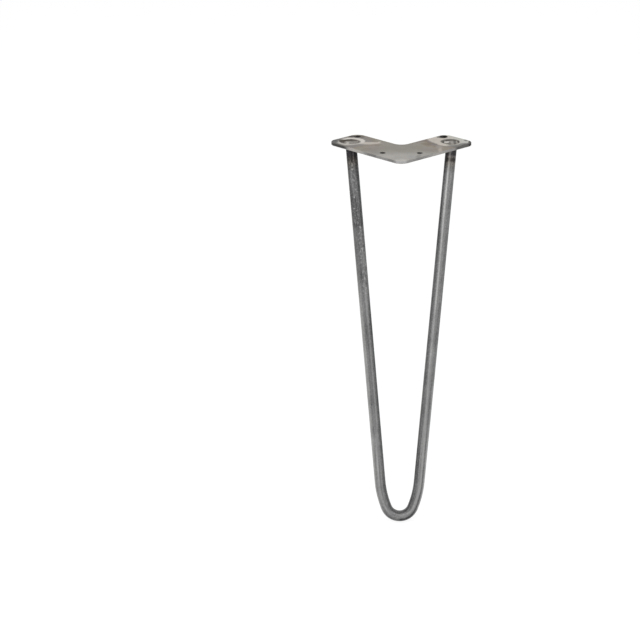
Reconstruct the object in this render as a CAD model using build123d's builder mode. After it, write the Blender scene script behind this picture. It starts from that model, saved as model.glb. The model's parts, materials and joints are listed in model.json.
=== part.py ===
from build123d import *
import os
from math import asin, atan2, cos, degrees, hypot, radians, sin, sqrt, tan

# Hairpin table leg: one round steel bar bent into a narrow U and welded to a flat corner plate.
# The origin is on the plate's top face, midway between the two front screw holes.
# X runs across the leg, +Y from the outer corner towards the notch, +Z up to the table top.

# The leg as a whole
LEG_HEIGHT = 406.4  # from the plate's top face to the floor, 16 inches
FOOT_REACH = 22.0  # how far the foot stands out in front of the plate's outer corner

# The bent bar
ROD_DIAMETER = 12.0
ROD_FROM_ARM_END = 18.4  # middle of each bar end at the plate's top face, back from the arm's end
ROD_FROM_OUTER_EDGE = 17.3  # and in from the arm's outer edge
NOSE_RADIUS = 15.7  # bend at the floor, on the bar's centre line
NOSE_SWEEP = 135.5  # degrees that the bar turns through at the nose
FLANK_RADIUS = 101.0  # slow bend between the nose and each straight prong

# The corner plate
ARM_LENGTH = 113.0  # from the outer corner to the end of each arm
ARM_WIDTH = 45.3
PLATE_THICKNESS = 3.5
CORNER_RADIUS = 10.0
NOTCH_RADIUS = 10.0
EDGE_BREAK = 0.4  # chamfer that takes the sharpness off the cut edges

# Screw holes, one at the front and one at the rear of each arm
SCREW_HOLE_DIAMETER = 6.0
FRONT_HOLE_ALONG = 38.2  # along the arm from the outer corner
FRONT_HOLE_IN = 10.5  # in from the arm's outer edge
REAR_HOLE_FROM_END = 8.0  # back from the arm's end
REAR_HOLE_FROM_INNER_EDGE = 7.2

# Plug welds that hold the bar ends in the plate
ROD_HOLE_CLEARANCE = 0.5  # each side of the slanting bar
WELD_LAND = 2.9  # how far the weld's mouth is wider than the hole, each side
MOUTH_ANGLE = 100.0  # included angle of the countersunk mouth
WELD_ROOT_GAP = 0.5  # hole left open below the weld
LEFT_END_DIP = 0.8  # how far each bar end was ground below the plate's face
RIGHT_END_DIP = 0.1
LEFT_GROOVE_DEPTH = 0.2  # groove left in each weld between its rim and the bar end
RIGHT_GROOVE_DEPTH = 0.7

# Places that follow from the sizes above
rod_radius = ROD_DIAMETER / 2
corner_y = -(FRONT_HOLE_ALONG + FRONT_HOLE_IN) / sqrt(2)
rod_along = ARM_LENGTH - ROD_FROM_ARM_END
rod_x = (rod_along - ROD_FROM_OUTER_EDGE) / sqrt(2)
rod_y = corner_y + (rod_along + ROD_FROM_OUTER_EDGE) / sqrt(2)
foot_y = corner_y - FOOT_REACH
foot_drop = LEG_HEIGHT - rod_radius
lean_run = rod_y - foot_y
leg_length = hypot(lean_run, foot_drop)

# Each straight prong is the tangent from a bar end to its flank bend
half_sweep = radians(NOSE_SWEEP / 2)
flank_offset = FLANK_RADIUS - NOSE_RADIUS
flank_across = rod_x + flank_offset * sin(half_sweep)
flank_down = leg_length - NOSE_RADIUS - flank_offset * cos(half_sweep)
flank_distance = hypot(flank_across, flank_down)
taper = atan2(flank_across, flank_down) - asin(FLANK_RADIUS / flank_distance)
prong_length = sqrt(flank_distance**2 - FLANK_RADIUS**2)
flank_sweep = 90 - NOSE_SWEEP / 2 - degrees(taper)
end_stub = ROD_DIAMETER  # bar that stands above the plate until it is ground off

# The bar crosses the plate on a slant, so its hole is wider than the bar
fall = cos(taper) * foot_drop / leg_length
inward_slope = sin(taper) / fall
forward_slope = lean_run / foot_drop
slant = hypot(inward_slope, forward_slope)
half_thickness = PLATE_THICKNESS / 2
hole_x = rod_x - half_thickness * inward_slope
hole_y = rod_y - half_thickness * forward_slope
hole_radius = rod_radius / fall + half_thickness * slant + ROD_HOLE_CLEARANCE
mouth_radius = hole_radius + WELD_LAND
mouth_depth = WELD_LAND / tan(radians(MOUTH_ANGLE / 2))

# The plane of the U leans out with the leg, and its own Y axis runs up the prongs
leg_plane = Plane(
    origin=(0, rod_y, 0),
    x_dir=(1, 0, 0),
    z_dir=(0, -foot_drop, lean_run),
)

# The plate's arms run along the plane's own X and Y axes, from its outer corner
plate_plane = Plane(origin=(0, corner_y, 0), x_dir=(1, 1, 0), z_dir=(0, 0, 1))

os.makedirs("parts", exist_ok=True)

# Bent bar: prong, flank, nose, flank and prong in one run, ground flush at the plate
with BuildPart() as hairpin_rod:
    with BuildLine(leg_plane) as centre_line:
        stub_x = rod_x + end_stub * sin(taper)
        bend_x = rod_x - prong_length * sin(taper)
        left_prong = Line(
            (-stub_x, end_stub * cos(taper)),
            (-bend_x, -prong_length * cos(taper)),
        )
        left_flank = JernArc(left_prong @ 1, left_prong % 1, FLANK_RADIUS, flank_sweep)
        nose = JernArc(left_flank @ 1, left_flank % 1, NOSE_RADIUS, NOSE_SWEEP)
        right_flank = JernArc(nose @ 1, nose % 1, FLANK_RADIUS, flank_sweep)
        right_prong = Line(
            right_flank @ 1,
            right_flank @ 1 + right_flank % 1 * (prong_length + end_stub),
        )
    with BuildSketch(Plane(origin=left_prong @ 0, z_dir=left_prong % 0)):
        Circle(rod_radius)
    sweep(path=centre_line.wire())
    split(bisect_by=Plane.XY, keep=Keep.BOTTOM)
    for end_x, end_dip in ((-hole_x, LEFT_END_DIP), (hole_x, RIGHT_END_DIP)):
        with BuildSketch(Plane.XY):
            with Locations((end_x, hole_y)):
                Circle(mouth_radius)
        extrude(amount=-end_dip, mode=Mode.SUBTRACT)
hairpin_rod.part.label = "hairpin_rod"
export_step(hairpin_rod.part, "parts/hairpin_rod.step")

# Corner plate: two arms cut from flat sheet, with rounded corners and broken edges
with BuildPart() as mounting_plate:
    with BuildSketch(plate_plane) as plate_outline:
        for across, along in ((ARM_LENGTH, ARM_WIDTH), (ARM_WIDTH, ARM_LENGTH)):
            RectangleRounded(across, along, CORNER_RADIUS, align=(Align.MIN, Align.MIN))
        notch_corner = plate_outline.vertices().sort_by_distance((ARM_WIDTH, ARM_WIDTH))[0]
        fillet(notch_corner, NOTCH_RADIUS)
    extrude(amount=-PLATE_THICKNESS)
    chamfer(mounting_plate.faces().filter_by(Axis.Z).edges(), EDGE_BREAK)
    rear_along = ARM_LENGTH - REAR_HOLE_FROM_END
    rear_in = ARM_WIDTH - REAR_HOLE_FROM_INNER_EDGE
    with BuildSketch(plate_plane):
        with Locations(
            (FRONT_HOLE_ALONG, FRONT_HOLE_IN),
            (FRONT_HOLE_IN, FRONT_HOLE_ALONG),
            (rear_along, rear_in),
            (rear_in, rear_along),
        ):
            Circle(SCREW_HOLE_DIAMETER / 2)
    extrude(amount=-PLATE_THICKNESS, mode=Mode.SUBTRACT)
    with Locations((-hole_x, hole_y, 0), (hole_x, hole_y, 0)):
        CounterSinkHole(hole_radius, mouth_radius, counter_sink_angle=MOUTH_ANGLE)
mounting_plate.part.label = "mounting_plate"
export_step(mounting_plate.part, "parts/mounting_plate.step")


# Plug welds: each fills the mouth round a bar end, down to a gap at the root.
# The left one is dished to the low bar end, the right one has a groove round a flush end.
weld_root = -PLATE_THICKNESS + WELD_ROOT_GAP
groove_radius = (mouth_radius + rod_radius) / 2
for weld_name, side, end_dip, groove_depth in (
    ("left_weld", -1, LEFT_END_DIP, LEFT_GROOVE_DEPTH),
    ("right_weld", 1, RIGHT_END_DIP, RIGHT_GROOVE_DEPTH),
):
    hole_plane = Plane(origin=(side * hole_x, hole_y, 0), x_dir=(1, 0, 0), z_dir=(0, -1, 0))
    with BuildPart() as weld:
        with BuildSketch(hole_plane):
            with BuildLine():
                Polyline(
                    (0, -end_dip),
                    (0, weld_root),
                    (hole_radius, weld_root),
                    (hole_radius, -mouth_depth),
                    (mouth_radius, 0),
                    (groove_radius, -end_dip / 2 - groove_depth),
                    (rod_radius, -end_dip),
                    close=True,
                )
            make_face()
        revolve(axis=Axis(hole_plane.origin, (0, 0, 1)))
        add(hairpin_rod.part, mode=Mode.SUBTRACT)
    weld.part.label = weld_name
    export_step(weld.part, f"parts/{weld_name}.step")

print(f"prong taper {degrees(taper):.2f} degrees, flank sweep {flank_sweep:.2f} degrees")
print(f"lean {degrees(atan2(lean_run, foot_drop)):.2f} degrees, rod hole {2 * hole_radius:.2f} mm")
print(f"weld mouth {2 * mouth_radius:.2f} mm, {mouth_depth:.2f} mm deep")
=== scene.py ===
"""Hairpin table leg: the finish of its bar, plate and welds, with the studio and camera round it.

Objects are placed in metres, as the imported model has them. The finishes are laid out in millimetres
on the same axes: X across the leg, Y from the plate's outer corner to its notch, and Z up.
"""

import json
import logging
import math
from dataclasses import dataclass, field, replace
from enum import Enum
from typing import Any, Dict, List, NamedTuple, Optional, Sequence, Tuple, Union

import bpy
from mathutils import Color, Matrix, Vector


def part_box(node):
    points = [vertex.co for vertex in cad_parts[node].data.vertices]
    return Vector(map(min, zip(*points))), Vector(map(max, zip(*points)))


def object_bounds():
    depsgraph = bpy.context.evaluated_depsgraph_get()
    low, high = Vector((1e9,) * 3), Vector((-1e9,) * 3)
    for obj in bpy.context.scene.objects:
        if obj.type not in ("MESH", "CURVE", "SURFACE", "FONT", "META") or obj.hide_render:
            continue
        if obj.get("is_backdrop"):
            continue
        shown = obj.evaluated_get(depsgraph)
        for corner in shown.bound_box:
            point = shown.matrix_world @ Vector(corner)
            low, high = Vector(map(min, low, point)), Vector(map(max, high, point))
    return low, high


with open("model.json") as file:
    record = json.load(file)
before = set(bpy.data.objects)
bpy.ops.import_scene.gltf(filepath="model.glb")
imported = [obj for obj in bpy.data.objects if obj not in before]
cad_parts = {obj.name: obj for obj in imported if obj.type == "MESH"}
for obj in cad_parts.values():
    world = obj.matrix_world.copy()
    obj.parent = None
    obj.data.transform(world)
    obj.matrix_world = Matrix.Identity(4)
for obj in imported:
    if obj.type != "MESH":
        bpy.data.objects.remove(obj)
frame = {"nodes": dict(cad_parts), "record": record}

Socket = bpy.types.NodeSocket
Sockets = bpy.types.bpy_prop_collection
Feed = Union[float, Sequence[float], Socket]
Colour = Tuple[float, float, float, float]
Point = Tuple[float, float, float]

MM_PER_M = 1000.0
SCREEN_LEVELS = 255.0
MID_TONE = 0.5
WHITE: Colour = (1.0, 1.0, 1.0, 1.0)
FLATTEN: Point = (1.0, 1.0, 0.0)

log = logging.getLogger("hairpin_leg")


class Side(Enum):
    """The two sides of the leg, by the sign of X."""

    LEFT = -1
    RIGHT = 1


class Port(Enum):
    """The kinds of socket that an effect has."""

    VALUE = "NodeSocketFloat"
    PLACE = "NodeSocketVector"
    COLOUR = "NodeSocketColor"


class Blend(Enum):
    """The ways of laying one colour over another."""

    COVER = "MIX"
    SHADE = "MULTIPLY"
    HUE = "COLOR"


def paint(red: int, green: int, blue: int) -> Colour:
    """Turns a colour as it looks on a screen into the linear one that shaders take.

    Args:
        red: Level from 0 to 255.
        green: Level from 0 to 255.
        blue: Level from 0 to 255.

    Returns:
        The linear colour, opaque.
    """
    shown = Color((red / SCREEN_LEVELS, green / SCREEN_LEVELS, blue / SCREEN_LEVELS))
    linear = shown.from_srgb_to_scene_linear()
    return (linear.r, linear.g, linear.b, 1.0)


class Wiring:
    """Adds nodes to one tree and links them."""

    # Sockets of a Mix node, by number, because the ones for numbers and for colours have the same names
    mix_share = 0
    mix_numbers = (2, 3)
    mixed_number = 0
    mix_colours = (6, 7)
    mixed_colour = 2

    def __init__(self, tree: bpy.types.NodeTree) -> None:
        """Keeps the tree to work in."""
        self.tree = tree

    @classmethod
    def blank(cls, owner: Union[bpy.types.Material, bpy.types.World]) -> "Wiring":
        """Empties the tree of a material or a world.

        Args:
            owner: The material or the world.

        Returns:
            The wiring for its tree.
        """
        owner.use_nodes = True
        owner.node_tree.nodes.clear()
        return cls(owner.node_tree)

    def feed(self, socket: Socket, value: Feed) -> None:
        """Links a socket to another one, or sets it to a plain value.

        Args:
            socket: The input to fill.
            value: An output socket, a number, a vector or a colour.
        """
        if isinstance(value, bpy.types.NodeSocket):
            self.tree.links.new(value, socket)
        else:
            socket.default_value = value

    def node(self, kind: str, feeds: Optional[Dict[Any, Feed]] = None, **settings: Any) -> bpy.types.Node:
        """Adds one node.

        Args:
            kind: Class name of the node, without its ShaderNode prefix.
            feeds: What goes into its inputs, by name or number.
            settings: Its other properties.

        Returns:
            The new node.
        """
        added = self.tree.nodes.new("ShaderNode" + kind)
        for name, value in settings.items():
            setattr(added, name, value)
        for name, value in (feeds or {}).items():
            self.feed(added.inputs[name], value)
        return added

    def sum(self, operation: str, first: Feed, second: Feed = 0.0, third: Feed = 0.0) -> Socket:
        """Works out one number from up to three.

        Args:
            operation: Name of the sum, as a Math node has it.
            first: First number.
            second: Second number.
            third: Third number.

        Returns:
            The result.
        """
        feeds = dict(enumerate((first, second, third)))
        return self.node("Math", feeds, operation=operation).outputs["Value"]

    def times(self, *factors: Feed) -> Feed:
        """Multiplies numbers.

        Args:
            factors: One or more numbers.

        Returns:
            Their product.
        """
        product, *others = factors
        for factor in others:
            product = self.sum("MULTIPLY", product, factor)
        return product

    def centred(self, tone: Socket) -> Socket:
        """Shifts a tone that runs from 0 to 1 so that its middle is zero."""
        return self.sum("SUBTRACT", tone, MID_TONE)

    def vector(self, operation: str, first: Feed, second: Feed = (0.0, 0.0, 0.0)) -> Socket:
        """Works out one vector from two.

        Args:
            operation: Name of the sum, as a Vector Math node has it.
            first: First vector.
            second: Second vector.

        Returns:
            The resulting vector.
        """
        feeds = dict(enumerate((first, second)))
        return self.node("VectorMath", feeds, operation=operation).outputs["Vector"]

    def measure(self, operation: str, first: Feed, second: Feed = (0.0, 0.0, 0.0)) -> Socket:
        """Works out one number from one or two vectors.

        Args:
            operation: Name of the sum, as a Vector Math node has it.
            first: First vector.
            second: Second vector.

        Returns:
            The resulting number.
        """
        feeds = dict(enumerate((first, second)))
        return self.node("VectorMath", feeds, operation=operation).outputs["Value"]

    def ease(self, value: Feed, low: Feed, high: Feed, start: Feed = 0.0, end: Feed = 1.0) -> Socket:
        """Eases from start to end as a value goes from low to high.

        Args:
            value: The value to follow.
            low: Where the change begins.
            high: Where the change is over.
            start: Result at low and before.
            end: Result at high and past it.

        Returns:
            The eased number.
        """
        feeds = {"Value": value, "From Min": low, "From Max": high, "To Min": start, "To Max": end}
        return self.node("MapRange", feeds, interpolation_type="SMOOTHSTEP").outputs["Result"]

    def between(self, share: Feed, first: Feed, second: Feed) -> Socket:
        """Gives a number between two others.

        Args:
            share: 0 for the first number, 1 for the second.
            first: The first number.
            second: The second number.

        Returns:
            The number between them.
        """
        feeds = dict(zip((self.mix_share, *self.mix_numbers), (share, first, second)))
        return self.node("Mix", feeds, data_type="FLOAT").outputs[self.mixed_number]

    def tint(self, share: Feed, below: Feed, above: Feed, blend: Blend = Blend.COVER) -> Socket:
        """Lays one colour over another.

        Args:
            share: How much of the upper colour is laid on.
            below: The colour below.
            above: The colour on top.
            blend: How the two are combined.

        Returns:
            The combined colour.
        """
        feeds = dict(zip((self.mix_share, *self.mix_colours), (share, below, above)))
        mixed = self.node("Mix", feeds, data_type="RGBA", blend_type=blend.value)
        return mixed.outputs[self.mixed_colour]

    def noise(self, place: Feed, detail: float = 3.0, roughness: float = 0.55) -> bpy.types.Node:
        """Adds an even noise whose grains are about one unit of its place across.

        Args:
            place: Where the noise is read.
            detail: How many finer layers it has.
            roughness: How strong the finer layers are.

        Returns:
            The node, with its Fac and Color outputs.
        """
        feeds = {"Vector": place, "Scale": 1.0, "Detail": detail, "Roughness": roughness}
        return self.node("TexNoise", feeds)

    def join(self, across: Feed, along: Feed, up: Feed) -> Socket:
        """Joins three numbers into a vector."""
        return self.node("CombineXYZ", {"X": across, "Y": along, "Z": up}).outputs["Vector"]

    def part(self, place: Socket) -> Tuple[Socket, Socket, Socket]:
        """Splits a vector into its three numbers."""
        outputs = self.node("SeparateXYZ", {"Vector": place}).outputs
        return (outputs["X"], outputs["Y"], outputs["Z"])

    def effect(self, group: "Effect", **feeds: Feed) -> Sockets:
        """Places a shared effect in this tree.

        Args:
            group: The effect.
            feeds: What goes into its inputs, by name.

        Returns:
            The group's outputs, by name.
        """
        placed = self.tree.nodes.new("ShaderNodeGroup")
        placed.node_tree = group.tree()
        for name, value in feeds.items():
            self.feed(placed.inputs[name], value)
        return placed.outputs


@dataclass(frozen=True)
class Fade:
    """A smooth change of one number while a value goes from where it begins to where it is over.

    Attributes:
        begins: The value at which the change begins.
        over: The value at which the change is over, which may be the lower of the two.
        start: The number before the change.
        end: The number after it.
    """

    begins: float
    over: float
    start: float = 0.0
    end: float = 1.0

    def follow(self, wiring: Wiring, value: Feed) -> Socket:
        """Makes the number that follows a value."""
        return wiring.ease(value, self.begins, self.over, self.start, self.end)


class Effect:
    """A shader node group with named sockets, built once and placed in several materials."""

    title: str = ""
    inputs: Dict[str, Port] = {}
    outputs: Dict[str, Port] = {}

    def tree(self) -> bpy.types.NodeTree:
        """Gives the group, building it the first time.

        Returns:
            The node group.
        """
        made = bpy.data.node_groups.get(self.title)
        if made is not None:
            return made
        made = bpy.data.node_groups.new(self.title, "ShaderNodeTree")
        for name, port in self.inputs.items():
            made.interface.new_socket(name, in_out="INPUT", socket_type=port.value)
        for name, port in self.outputs.items():
            made.interface.new_socket(name, in_out="OUTPUT", socket_type=port.value)
        entry = made.nodes.new("NodeGroupInput")
        leave = made.nodes.new("NodeGroupOutput")
        wiring = Wiring(made)
        for name, result in self.results(wiring, entry.outputs).items():
            wiring.feed(leave.inputs[name], result)
        return made

    def results(self, wiring: Wiring, entry: Sockets) -> Dict[str, Socket]:
        """Builds the inside of the group; each effect has its own."""
        raise NotImplementedError

    @staticmethod
    def scaled(wiring: Wiring, entry: Sockets) -> Socket:
        """Gives the place in units of the size, for an effect that has both."""
        size = wiring.join(entry["Size"], entry["Size"], entry["Size"])
        return wiring.vector("DIVIDE", entry["Place"], size)


class DrawMarks(Effect):
    """Fine lines left along the X axis of a place by drawing or rolling."""

    title = "draw_marks"
    inputs = {"Place": Port.PLACE, "Length": Port.VALUE, "Width": Port.VALUE}
    outputs = {"Tone": Port.VALUE, "Height": Port.VALUE}
    broad_detail = 2.0
    fine_shape: Point = (1.7, 3.1, 3.1)
    fine_detail = 4.0
    fine_roughness = 0.65
    contrast = Fade(0.3, 0.7)

    def results(self, wiring: Wiring, entry: Sockets) -> Dict[str, Socket]:
        """Stretches a broad and a fine noise along X.

        Args:
            wiring: The group's own tree.
            entry: The group's inputs.

        Returns:
            A tone and a height, each about 0 to 1.
        """
        grain = wiring.join(entry["Length"], entry["Width"], entry["Width"])
        broad_place = wiring.vector("DIVIDE", entry["Place"], grain)
        fine_place = wiring.vector("MULTIPLY", broad_place, self.fine_shape)
        broad = wiring.noise(broad_place, self.broad_detail).outputs["Fac"]
        fine = wiring.noise(fine_place, self.fine_detail, self.fine_roughness).outputs["Fac"]
        tone = self.contrast.follow(wiring, wiring.between(MID_TONE, broad, fine))
        return {"Tone": tone, "Height": fine}


class Mottle(Effect):
    """Soft cloudy patches."""

    title = "mottle"
    inputs = {"Place": Port.PLACE, "Size": Port.VALUE}
    outputs = {"Tone": Port.VALUE, "Drift": Port.PLACE}
    detail = 5.0
    contrast = Fade(0.32, 0.68)

    def results(self, wiring: Wiring, entry: Sockets) -> Dict[str, Socket]:
        """Makes a cloudy tone, and a drift that roughens a border.

        Args:
            wiring: The group's own tree.
            entry: The group's inputs.

        Returns:
            A tone from 0 to 1 and a vector about zero.
        """
        cloud = wiring.noise(self.scaled(wiring, entry), self.detail).outputs
        drift = wiring.vector("SUBTRACT", cloud["Color"], (MID_TONE, MID_TONE, MID_TONE))
        return {"Tone": self.contrast.follow(wiring, cloud["Fac"]), "Drift": drift}


class Specks(Effect):
    """Small scattered spots, such as pits and flecks of scale."""

    title = "specks"
    inputs = {"Place": Port.PLACE, "Size": Port.VALUE, "Cover": Port.VALUE}
    outputs = {"Mask": Port.VALUE}
    wander_fineness: Point = (2.0, 2.0, 2.0)
    wander_reach: Point = (0.9, 0.9, 0.9)
    smallest = 0.14
    largest = 0.4
    solid_share = 0.4

    def results(self, wiring: Wiring, entry: Sockets) -> Dict[str, Socket]:
        """Keeps some of the cells of a pattern and rounds them off.

        Args:
            wiring: The group's own tree.
            entry: The group's inputs.

        Returns:
            A mask, 1 in a spot.
        """
        place = self.scaled(wiring, entry)
        wander = wiring.noise(wiring.vector("MULTIPLY", place, self.wander_fineness)).outputs["Color"]
        uneven = wiring.vector("ADD", place, wiring.vector("MULTIPLY", wander, self.wander_reach))
        cells = wiring.node("TexVoronoi", {"Vector": uneven, "Scale": 1.0}).outputs
        lot, growth, _ = wiring.part(cells["Color"])
        radius = wiring.between(growth, self.smallest, self.largest)
        spot = wiring.ease(cells["Distance"], radius, wiring.times(radius, self.solid_share))
        return {"Mask": wiring.times(spot, wiring.sum("LESS_THAN", lot, entry["Cover"]))}


class DiscMarks(Effect):
    """Arc-shaped scratches of a grinding disc."""

    title = "disc_marks"
    inputs = {"Place": Port.PLACE, "Centre": Port.PLACE, "Spacing": Port.VALUE}
    outputs = {"Tone": Port.VALUE, "Height": Port.VALUE}
    grains_per_radian = 9.0
    roughness = 0.6
    contrast = Fade(0.3, 0.7)

    def results(self, wiring: Wiring, entry: Sockets) -> Dict[str, Socket]:
        """Stretches a noise along circles round the disc's centre.

        Args:
            wiring: The group's own tree.
            entry: The group's inputs.

        Returns:
            A tone and a height, each about 0 to 1.
        """
        offset = wiring.vector("SUBTRACT", entry["Place"], entry["Centre"])
        across, along, up = wiring.part(offset)
        reach = wiring.measure("LENGTH", wiring.join(across, along, 0.0))
        turn = wiring.times(wiring.sum("ARCTAN2", along, across), self.grains_per_radian)
        ring = wiring.sum("DIVIDE", reach, entry["Spacing"])
        fine = wiring.noise(wiring.join(ring, turn, up), roughness=self.roughness).outputs["Fac"]
        return {"Tone": self.contrast.follow(wiring, fine), "Height": fine}


class HeatTint(Effect):
    """Colours that welding heat leaves on steel, from blue at the weld out to straw."""

    title = "heat_tint"
    inputs = {"Distance": Port.VALUE, "Reach": Port.VALUE}
    outputs = {"Colour": Port.COLOUR, "Strength": Port.VALUE}
    weld_colour: Colour = paint(92, 92, 98)
    straw_colour: Colour = paint(148, 141, 130)
    temper_colours: Tuple[Tuple[float, Colour], ...] = (
        (0.38, paint(118, 108, 110)),
        (0.52, paint(120, 106, 91)),
        (0.70, paint(134, 121, 103)),
    )
    dying_out = Fade(1.0, 0.6)

    def results(self, wiring: Wiring, entry: Sockets) -> Dict[str, Socket]:
        """Runs through the temper colours with the distance from the weld.

        Args:
            wiring: The group's own tree.
            entry: The group's inputs.

        Returns:
            The colour and how strongly it shows.
        """
        share = wiring.sum("DIVIDE", entry["Distance"], entry["Reach"])
        ramp = wiring.node("ValToRGB", {"Fac": share})
        stops = ramp.color_ramp.elements
        for stop, colour in zip(stops, (self.weld_colour, self.straw_colour)):
            stop.color = colour
        for position, colour in self.temper_colours:
            stops.new(position).color = colour
        return {"Colour": ramp.outputs["Color"], "Strength": self.dying_out.follow(wiring, share)}


class EdgeWear(Effect):
    """Rubbed corners, where an edge is rounded off a little."""

    title = "edge_wear"
    inputs = {"Place": Port.PLACE, "Radius": Port.VALUE}
    outputs = {"Mask": Port.VALUE}
    bevel_samples = 4
    turned_away = Fade(0.995, 0.9)
    detail = 4.0
    broken_up = Fade(0.3, 0.6)

    def results(self, wiring: Wiring, entry: Sockets) -> Dict[str, Socket]:
        """Compares the surface's own direction with that of a rounded copy.

        Args:
            wiring: The group's own tree.
            entry: The group's inputs.

        Returns:
            A mask, 1 on a rubbed edge.
        """
        bevel = wiring.node("Bevel", {"Radius": entry["Radius"]}, samples=self.bevel_samples)
        own = wiring.node("NewGeometry").outputs["Normal"]
        edge = self.turned_away.follow(wiring, wiring.measure("DOT_PRODUCT", bevel.outputs["Normal"], own))
        cloud = wiring.noise(entry["Place"], self.detail).outputs["Fac"]
        patchy = self.broken_up.follow(wiring, cloud)
        return {"Mask": wiring.times(edge, patchy)}


class Oval(Effect):
    """An oval with a soft border, seen from above."""

    title = "oval"
    inputs = {
        "Place": Port.PLACE,
        "Centre": Port.PLACE,
        "Turn": Port.PLACE,
        "Size": Port.PLACE,
        "Softness": Port.VALUE,
        "Share": Port.VALUE,
    }
    outputs = {"Mask": Port.VALUE}

    def results(self, wiring: Wiring, entry: Sockets) -> Dict[str, Socket]:
        """Measures how far out from the oval's centre a place is, as a share of its size.

        Args:
            wiring: The group's own tree.
            entry: The group's inputs.

        Returns:
            A mask, the share inside the oval and 0 outside.
        """
        feeds = {
            "Vector": wiring.vector("MULTIPLY", entry["Place"], FLATTEN),
            "Location": entry["Centre"],
            "Rotation": entry["Turn"],
            "Scale": entry["Size"],
        }
        mapped = wiring.node("Mapping", feeds, vector_type="TEXTURE").outputs["Vector"]
        outside = wiring.sum("ADD", 1.0, entry["Softness"])
        inside = wiring.sum("SUBTRACT", 1.0, entry["Softness"])
        reach = wiring.measure("LENGTH", mapped)
        return {"Mask": wiring.ease(reach, outside, inside, 0.0, entry["Share"])}


DRAW_MARKS = DrawMarks()
MOTTLE = Mottle()
SPECKS = Specks()
DISC_MARKS = DiscMarks()
HEAT_TINT = HeatTint()
EDGE_WEAR = EdgeWear()
OVAL = Oval()


@dataclass(frozen=True)
class Grinder:
    """The disc that levelled the welds and the bar ends, in millimetres."""

    centre: Point = (10.0, 120.0, 0.0)
    scratch: float = 0.45

    def marks(self, wiring: Wiring, place: Socket) -> Sockets:
        """Places the disc's scratches in a material."""
        return wiring.effect(DISC_MARKS, Place=place, Centre=self.centre, Spacing=self.scratch)


GRINDER = Grinder()


@dataclass(frozen=True)
class Patch:
    """An oval on the plate's face with a soft border, in millimetres and degrees.

    Attributes:
        x: Where its middle is along X.
        y: Where its middle is along Y.
        width: Its size along X, before it is turned.
        depth: Its size along Y, before it is turned.
        turn: How far it is turned.
        softness: How far its border reaches in and out, as a share of its size.
        share: How strongly it shows.
    """

    x: float
    y: float
    width: float
    depth: float
    turn: float = 0.0
    softness: float = 0.15
    share: float = 1.0

    def mask(self, wiring: Wiring, place: Socket) -> Socket:
        """Makes a mask of the patch.

        Args:
            wiring: The material's tree.
            place: Where it is read, in millimetres.

        Returns:
            The patch's share inside it and 0 outside.
        """
        placed = wiring.effect(
            OVAL,
            Place=place,
            Centre=(self.x, self.y, 0.0),
            Turn=(0.0, 0.0, math.radians(self.turn)),
            Size=(self.width / 2, self.depth / 2, 1.0),
            Softness=self.softness,
            Share=self.share,
        )
        return placed["Mask"]


@dataclass(frozen=True)
class Overlay:
    """A patch with the colour laid over the steel there; some are stains, and some are painted shade or
    painted highlights.
    """

    patch: Patch
    colour: Colour

    def lay(self, wiring: Wiring, place: Socket, tone: Feed) -> Socket:
        """Lays the patch's colour over a tone.

        Args:
            wiring: The material's tree.
            place: Where it is read, in millimetres.
            tone: The colour below.

        Returns:
            The colour with the patch laid on.
        """
        return wiring.tint(self.patch.mask(wiring, place), tone, self.colour)


# Painted shade in the left weld's dish, which runs on over the plate
DISH_SHADE = Overlay(Patch(-64.2, 47.2, 7.4, 11.0, 0.0, 0.3, 0.9), paint(88, 81, 74))

# Marks on the bar ends and welds: painted shade in the left dish, painted glints on the bar ends, lighter
# smears of the disc, and darker marks
END_MARKS_AND_GLINTS = (
    DISH_SHADE,
    # Painted glint on the left bar end
    Overlay(Patch(-58.0, 41.5, 3.0, 7.0, 0.0, 0.5, 0.9), paint(192, 188, 182)),
    Overlay(Patch(-55.0, 37.0, 4.0, 4.0, 0.0, 0.5, 0.6), paint(104, 94, 86)),
    Overlay(Patch(-45.8, 44.5, 2.6, 11.0, 0.0, 0.5, 0.8), paint(92, 86, 80)),
    Overlay(Patch(51.5, 52.0, 11.0, 4.6, 0.0, 0.5, 0.9), paint(70, 66, 62)),
    Overlay(Patch(44.8, 46.0, 3.2, 10.0, 0.0, 0.4, 0.85), paint(58, 55, 52)),
    # Painted glint on the right bar end and its weld
    Overlay(Patch(49.2, 45.4, 5.4, 9.0, 0.0, 0.4, 0.95), paint(192, 188, 183)),
    Overlay(Patch(56.0, 42.5, 4.6, 11.0, 0.0, 0.5, 0.6), paint(164, 160, 154)),
    Overlay(Patch(52.3, 43.0, 2.2, 5.0, 0.0, 0.5, 0.7), paint(96, 92, 88)),
    Overlay(Patch(57.7, 45.5, 3.0, 17.0, 0.0, 0.5, 0.8), paint(78, 75, 71)),
    Overlay(Patch(59.9, 45.5, 1.8, 12.0, 0.0, 0.5, 0.7), paint(158, 154, 148)),
    Overlay(Patch(61.7, 47.5, 2.4, 9.0, 0.0, 0.4, 0.85), paint(80, 77, 73)),
)


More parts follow.
